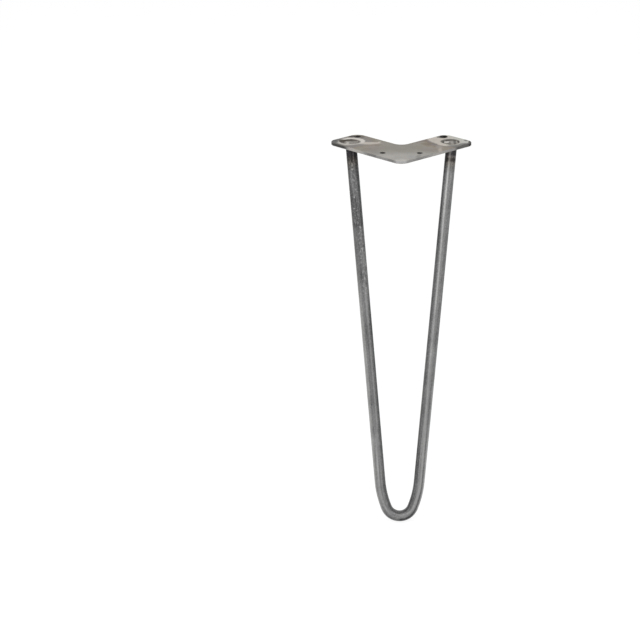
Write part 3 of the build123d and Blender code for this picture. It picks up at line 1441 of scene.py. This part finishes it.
    def drill(self, wiring: Wiring, place: Socket, tone: Socket) -> Socket:
        """Darkens the walls of the screw holes with painted shade.

        Args:
            wiring: The material's tree.
            place: Where it is read, in millimetres.
            tone: The colour of the plate.

        Returns:
            The colour with its holes.
        """
        mirrored = self.mirrored(wiring, place)
        for pair in self.screws:
            off = wiring.measure("DISTANCE", mirrored, (pair.x, pair.y, 0.0))
            begins, over = (pair.radius + margin for margin in self.hole_wall)
            tone = wiring.tint(wiring.ease(off, begins, over), tone, self.hole_shade_grey)
        return tone

    def rubbed_and_highlit_edges(self, wiring: Wiring, place: Socket, hollow: Feed) -> Feed:
        """Makes a mask of the rubbed edges, with painted highlights at the front corner and on the
        front-left edge, without the rims of the weld hollows.

        Args:
            wiring: The material's tree.
            place: Where it is read, in millimetres.
            hollow: Mask of the weld hollows.

        Returns:
            How much each edge is lightened.
        """
        wear = wiring.effect(EDGE_WEAR, Place=place, Radius=self.wear_radius / MM_PER_M)["Mask"]
        highlit = self.widest(wiring, place, self.edge_highlight_places)
        open_edge = wiring.sum("SUBTRACT", 1.0, hollow)
        return wiring.times(wear, open_edge, wiring.between(highlit, *self.wear_and_highlight_shares))

    def dress(self, wiring: Wiring, shader: bpy.types.Node, place: Socket) -> None:
        """Feeds the shader.

        Args:
            wiring: The material's tree.
            shader: The surface shader.
            place: Where it is read, in millimetres.
        """
        across, along, up = wiring.part(place)
        _, _, facing = wiring.part(wiring.node("NewGeometry").outputs["Normal"])
        edge_face = self.edge_facing.follow(wiring, wiring.sum("ABSOLUTE", facing))
        underside = self.under_facing.follow(wiring, facing)
        clouds = wiring.effect(MOTTLE, Place=place, Size=self.cloud_size)
        grain = wiring.effect(MOTTLE, Place=place, Size=self.grain_size)["Tone"]
        worn_place = self.ragged(wiring, place, clouds["Drift"])
        arcs = GRINDER.marks(wiring, place)

        tone = self.sheet_tone(wiring, place, worn_place, clouds["Tone"])
        ground = self.widest(wiring, worn_place, self.ground_places)
        cool = self.cool_fade.follow(wiring, across)
        tone = wiring.tint(ground, tone, wiring.tint(cool, self.warm_ground, self.cool_ground))
        ring = self.ring_mask(wiring, place, worn_place)
        tone = wiring.tint(ring, tone, self.ring_grey)
        tone = self.overlaid(wiring, worn_place, tone, self.worn_marks_and_glints)
        tone = self.overlaid(wiring, place, tone, self.dark_rough_marks)
        # Painted shade of the weld hollows, on the plate round their rims
        hollow = self.widest(wiring, place, self.hollows)
        tone = wiring.tint(hollow, tone, self.hollow_shade_grey)
        pits = wiring.effect(SPECKS, Place=place, Size=self.pit_size, Cover=self.pit_cover)["Mask"]
        tone = wiring.tint(wiring.times(pits, self.pit_share), tone, self.scale_grey)
        tone = wiring.tint(edge_face, tone, self.cut_tone(wiring, across, worn_place))
        tone = wiring.tint(underside, tone, self.under_grey)
        tone = self.drill(wiring, place, tone)

        rolled = wiring.effect(DRAW_MARKS, Place=place, Length=self.line_length, Width=self.line_width)
        upright = wiring.join(up, across, along)
        cut = wiring.effect(DRAW_MARKS, Place=upright, Length=self.cut_length, Width=self.cut_width)
        bright = wiring.sum("MAXIMUM", ground, ring)
        lines = wiring.between(edge_face, rolled["Tone"], cut["Tone"])
        lines = wiring.between(wiring.times(bright, self.disc_share), lines, arcs["Tone"])
        parts = (
            (wiring.centred(lines), self.line_contrast),
            (wiring.centred(grain), self.grain_contrast),
            (wiring.centred(clouds["Tone"]), self.cloud_contrast),
        )
        shade = self.weigh(wiring, 1.0, parts)
        tone = wiring.tint(1.0, tone, wiring.join(shade, shade, shade), Blend.SHADE)
        # Rubbed edges, with painted highlights at the front corner and on the front-left edge
        tone = wiring.tint(self.rubbed_and_highlit_edges(wiring, place, hollow), tone, self.ring_grey)
        wiring.feed(shader.inputs["Base Color"], tone)
        darkened = self.widest(wiring, place, [overlay.patch for overlay in self.dark_rough_marks])
        rough = wiring.between(darkened, wiring.between(bright, *self.roughness), self.dark_mark_roughness)
        wiring.feed(shader.inputs["Roughness"], rough)
        self.roughen(wiring, shader, wiring.between(bright, lines, arcs["Height"]), grain)


@dataclass(frozen=True)
class WeldMetal(Finish):
    """Weld metal, with painted shade in its groove, and ground lighter towards its rim.

    Attributes:
        title: Name of the material.
        centre: Middle of the groove.
        groove_radius: Radius of the groove.
        groove_width: How far the groove's shade reaches to either side.
        dark_turn: Direction in which the groove's painted shade is deepest, in degrees.
        one_sided: How much lighter the painted shade is on the groove's other side.
    """

    title: str
    centre: Tuple[float, float]
    groove_radius: float
    groove_width: float
    dark_turn: float
    one_sided: float
    relief_depth = 0.25
    grain_depth = 0.06
    # Dark end of the weld's tone, which the painted groove shade and the pits run towards
    groove_grey: Colour = paint(72, 67, 61)
    proud_grey: Colour = paint(146, 140, 133)
    rim_grey: Colour = paint(184, 179, 171)
    groove_floor: float = 0.35
    side_span: Tuple[float, float] = (-0.5, 0.8)
    cloud_size: float = 3.5
    cloud_middle: float = 0.1
    cloud_contrast: float = 0.4
    bead_size: float = 0.9
    bead_contrast: float = 0.25
    disc_contrast: float = 0.2
    pit_size: float = 1.1
    pit_cover: float = 0.2
    pit_depth: float = -0.5
    rim_margins: Tuple[float, float] = (0.6, 2.0)
    rim_side: Fade = Fade(2.0, -4.0)
    wear_radius: float = 0.3
    wear_share: float = 0.35
    roughness: Tuple[float, float] = (0.85, 0.42)

    def groove_shade(self, wiring: Wiring, radius: Socket, toward: Socket) -> Feed:
        """Makes the painted shade in the groove.

        Args:
            wiring: The material's tree.
            radius: How far a place is from the groove's middle.
            toward: How far it is towards the groove's dark side.

        Returns:
            1 where the groove is darkest and 0 off it.
        """
        off_groove = wiring.sum("ABSOLUTE", wiring.sum("SUBTRACT", radius, self.groove_radius))
        groove = wiring.ease(off_groove, self.groove_width, self.groove_floor * self.groove_width)
        light_end, dark_end = (share * self.groove_radius for share in self.side_span)
        depth = wiring.ease(toward, light_end, dark_end, 1.0 - self.one_sided, 1.0)
        return wiring.times(groove, depth)

    def dress(self, wiring: Wiring, shader: bpy.types.Node, place: Socket) -> None:
        """Feeds the shader.

        Args:
            wiring: The material's tree.
            shader: The surface shader.
            place: Where it is read, in millimetres.
        """
        clouds = wiring.effect(MOTTLE, Place=place, Size=self.cloud_size)["Tone"]
        beads = wiring.effect(MOTTLE, Place=place, Size=self.bead_size)["Tone"]
        pits = wiring.effect(SPECKS, Place=place, Size=self.pit_size, Cover=self.pit_cover)["Mask"]
        arcs = GRINDER.marks(wiring, place)
        offset = wiring.vector("SUBTRACT", place, (*self.centre, 0.0))
        flat = wiring.vector("MULTIPLY", offset, FLATTEN)
        radius = wiring.measure("LENGTH", flat)
        turn = math.radians(self.dark_turn)
        toward = wiring.measure("DOT_PRODUCT", flat, (math.cos(turn), math.sin(turn), 0.0))
        parts = (
            (wiring.centred(clouds), self.cloud_contrast),
            (wiring.centred(beads), self.bead_contrast),
            (wiring.centred(arcs["Tone"]), self.disc_contrast),
            (pits, self.pit_depth),
        )
        highest = 1.0 - self.cloud_middle * self.cloud_contrast
        proud = wiring.sum("SUBTRACT", highest, self.groove_shade(wiring, radius, toward))
        level = self.weigh(wiring, proud, parts)
        tone = wiring.tint(level, self.groove_grey, self.proud_grey)
        inner, outer = (self.groove_radius + margin for margin in self.rim_margins)
        rim = wiring.times(wiring.ease(radius, inner, outer), self.rim_side.follow(wiring, toward))
        tone = wiring.tint(rim, tone, self.rim_grey)
        wear = wiring.effect(EDGE_WEAR, Place=place, Radius=self.wear_radius / MM_PER_M)["Mask"]
        tone = wiring.tint(wiring.times(wear, self.wear_share), tone, self.rim_grey)
        tone = self.overlaid(wiring, place, tone, END_MARKS_AND_GLINTS)
        wiring.feed(shader.inputs["Base Color"], tone)
        wiring.feed(shader.inputs["Roughness"], wiring.between(level, *self.roughness))
        self.roughen(wiring, shader, clouds, beads)


LEFT_WELD_METAL = WeldMetal(
    title="left_weld_metal",
    centre=(-55.75, 44.2),
    groove_radius=9.0,
    groove_width=3.8,
    dark_turn=130.0,
    one_sided=0.85,
)
RIGHT_WELD_METAL = WeldMetal(
    title="right_weld_metal",
    centre=(52.8, 46.8),
    groove_radius=9.0,
    groove_width=2.4,
    dark_turn=150.0,
    one_sided=0.6,
)


@dataclass
class Piece:
    """One piece of the leg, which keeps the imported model's shape and gets a finish."""

    node: str

    def finish(self) -> Finish:
        """Gives the piece's finish; each piece has its own."""
        raise NotImplementedError

    def dress(self) -> bpy.types.Object:
        """Puts the finish on all of the piece.

        Returns:
            The piece.
        """
        piece = frame["nodes"][self.node]
        made = self.finish().material()
        for slot in piece.material_slots:
            slot.material = made
        return piece


@dataclass
class BentBar(Piece):
    """The bent bar, along its centre line."""

    node: str = "hairpin_rod"
    path: BarPath = field(default_factory=BarPath)

    def finish(self) -> Finish:
        """Gives drawn steel that follows the bar's bends."""
        return BarSteel(path=self.path)


@dataclass
class CornerPlate(Piece):
    """The corner plate, with the screw holes and the weld that the frame gives."""

    node: str = "mounting_plate"
    weld_node: str = "right_weld"
    screw_mount: str = "bolt_pattern"

    def finish(self) -> Finish:
        """Gives ground sheet steel.

        Returns:
            The finish, with its holes and its heat where the frame has them.
        """
        mounts = [mount for mount in frame["record"]["mounts"] if mount["kind"] == self.screw_mount]
        low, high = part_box(self.weld_node)
        middle = (Vector(low) + Vector(high)) / 2 * MM_PER_M
        return PlateSteel(
            screws=tuple(ScrewPair.at_mount(mount) for mount in mounts),
            weld_place=(middle.x, middle.y, 0.0),
        )


@dataclass
class PlugWeld(Piece):
    """The weld round one bar end."""

    metal: WeldMetal

    def finish(self) -> Finish:
        """Gives the weld metal of its side."""
        return self.metal


@dataclass(frozen=True)
class Lamp:
    """A soft lamp: its place and size in metres, and its power in watts."""

    name: str
    place: Point
    width: float
    height: float
    power: float

    def hang(self, target: Point) -> None:
        """Hangs the lamp so that it faces a target.

        Args:
            target: What it faces.
        """
        light = bpy.data.lights.new(self.name, "AREA")
        light.shape = "RECTANGLE"
        light.size = self.width
        light.size_y = self.height
        light.energy = self.power
        hung = bpy.data.objects.new(self.name, light)
        hung.location = self.place
        aim = Vector(target) - Vector(self.place)
        hung.rotation_euler = aim.to_track_quat("-Z", "Y").to_euler()
        bpy.context.scene.collection.objects.link(hung)


@dataclass
class Studio:
    """A white floor and surround, with large soft lamps.

    Attributes:
        floor_level: Height of the floor, in metres.
        floor_size: Length of its sides, in metres.
        floor_grey: Its colour under the lamps.
        floor_glow: What it is lightened by for the eye.
        ambient: Strength of the surround as a light.
        room: Strength of the surround as the steel shows it, from the camera's side of it to the back.
        target: What the lamps face.
        lamps: The lamps.
    """

    floor_level: float
    floor_size: float = 40.0
    floor_grey: Colour = (0.25, 0.25, 0.25, 1.0)
    floor_glow: float = 0.84
    ambient: float = 0.6
    room: Fade = Fade(-0.9, 0.1, 0.55, 1.0)
    target: Point = (0.0, 0.0, -0.2)
    lamps: Tuple[Lamp, ...] = (
        Lamp("softbox_left", (-1.1, -1.5, 0.9), 2.6, 2.6, 23.0),
        Lamp("softbox_right", (1.5, -1.0, 0.6), 1.5, 1.9, 8.0),
        Lamp("softbox_top", (0.0, 0.3, 1.6), 1.4, 1.0, 1.5),
    )

    def build(self) -> None:
        """Makes the floor, the surround and the lamps."""
        self.lay_floor()
        self.surround()
        for lamp in self.lamps:
            lamp.hang(self.target)

    def lay_floor(self) -> None:
        """Lays the floor: white to the eye and in the steel, with the leg's own shadow on it."""
        half = self.floor_size / 2
        mesh = bpy.data.meshes.new("floor")
        corners = [(-half, -half, 0.0), (half, -half, 0.0), (half, half, 0.0), (-half, half, 0.0)]
        mesh.from_pydata(corners, [], [(0, 1, 2, 3)])
        floor = bpy.data.objects.new("floor", mesh)
        floor.location = (0.0, 0.0, self.floor_level)
        bpy.context.scene.collection.objects.link(floor)
        made = bpy.data.materials.new("floor_white")
        wiring = Wiring.blank(made)
        leave = wiring.node("OutputMaterial")
        matt = wiring.node("BsdfDiffuse", {"Color": self.floor_grey})
        glow = wiring.node("Emission", {"Strength": wiring.times(self.seen(wiring), self.floor_glow)})
        shaders = (matt.outputs["BSDF"], glow.outputs["Emission"])
        both = wiring.node("AddShader", dict(enumerate(shaders)))
        clear = wiring.node("BsdfTransparent")
        below = wiring.node("NewGeometry").outputs["Backfacing"]
        sides = (below, both.outputs["Shader"], clear.outputs["BSDF"])
        one_sided = wiring.node("MixShader", dict(enumerate(sides)))
        wiring.feed(leave.inputs["Surface"], one_sided.outputs["Shader"])
        mesh.materials.append(made)
        floor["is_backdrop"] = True

    @staticmethod
    def seen(wiring: Wiring) -> Socket:
        """Tells rays that show the studio from those that light the leg.

        Args:
            wiring: The tree of the floor or the surround.

        Returns:
            1 for the camera and for what shows in steel.
        """
        path = wiring.node("LightPath").outputs
        shown = wiring.sum("MAXIMUM", path["Is Camera Ray"], path["Is Glossy Ray"])
        return wiring.sum("MAXIMUM", shown, path["Is Transmission Ray"])

    def surround(self) -> None:
        """Makes the surround: white behind the leg, greyer on the camera's side of it."""
        world = bpy.data.worlds.new("studio")
        bpy.context.scene.world = world
        wiring = Wiring.blank(world)
        leave = wiring.node("OutputWorld")
        _, away, _ = wiring.part(wiring.node("TexCoord").outputs["Generated"])
        room = self.room.follow(wiring, away)
        shown = wiring.between(wiring.node("LightPath").outputs["Is Camera Ray"], room, 1.0)
        strength = wiring.between(self.seen(wiring), self.ambient, shown)
        back = wiring.node("Background", {"Color": WHITE, "Strength": strength})
        wiring.feed(leave.inputs["Surface"], back.outputs["Background"])


@dataclass
class PhotoCamera:
    """The camera, where the picture was taken from.

    Attributes:
        azimuth: Its turn off the middle plane, in degrees.
        elevation: How far it looks down, in degrees.
        roll: How far it is tipped to the side, in degrees.
        distance: How far it is from its aim, in metres.
        aim: A place on its line of sight, in metres.
        frame_pixels: Width and height of the picture, in pixels.
        focal_pixels: Its focal length, in pixels.
        centre_pixel: Where its line of sight meets the picture, in pixels.
        sensor: Width of its sensor, in millimetres.
    """

    azimuth: float = -0.072
    elevation: float = 21.173
    roll: float = -0.267
    distance: float = 1.9472
    aim: Point = (0.0002, -0.02805, -0.1878)
    frame_pixels: float = 640.0
    focal_pixels: float = 1800.0
    centre_pixel: Tuple[float, float] = (400.55, 327.95)
    sensor: float = 36.0

    def build(self) -> bpy.types.Object:
        """Sets up the camera.

        Returns:
            The camera.
        """
        data = bpy.data.cameras.new("photo_camera")
        data.sensor_width = self.sensor
        data.lens = self.focal_pixels / self.frame_pixels * self.sensor
        middle = self.frame_pixels / 2
        centre_x, centre_y = self.centre_pixel
        data.shift_x = (middle - centre_x) / self.frame_pixels
        data.shift_y = (centre_y - middle) / self.frame_pixels
        camera = bpy.data.objects.new("photo_camera", data)
        turn = math.radians(self.azimuth)
        tilt = math.radians(self.elevation)
        roll = math.radians(self.roll)
        heading = Vector((math.sin(turn), math.cos(turn), 0.0))
        ahead = heading * math.cos(tilt) - Vector((0.0, 0.0, math.sin(tilt)))
        level = Vector((math.cos(turn), -math.sin(turn), 0.0))
        down = ahead.cross(level)
        right = level * math.cos(roll) + down * math.sin(roll)
        up = level * math.sin(roll) - down * math.cos(roll)
        turned = Matrix((right, up, -ahead)).transposed().to_quaternion()
        place = Vector(self.aim) - ahead * self.distance
        camera.matrix_world = Matrix.LocRotScale(place, turned, None)
        bpy.context.scene.collection.objects.link(camera)
        bpy.context.scene.camera = camera
        return camera


def main() -> None:
    """Dresses the leg, then sets up the studio and the camera."""
    logging.basicConfig(level=logging.INFO, format="%(name)s: %(message)s")
    bpy.context.scene.view_settings.view_transform = "Standard"
    cad_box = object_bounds()
    pieces = (
        BentBar(),
        CornerPlate(),
        PlugWeld("left_weld", LEFT_WELD_METAL),
        PlugWeld("right_weld", RIGHT_WELD_METAL),
    )
    for piece in pieces:
        dressed = piece.dress()
        log.info("%s dressed in %s", dressed.name, dressed.material_slots[0].material.name)
    Studio(floor_level=cad_box[0].z).build()
    camera = PhotoCamera().build()
    log.info("%s looks at the leg", camera.name)


if __name__ == "__main__":
    main()
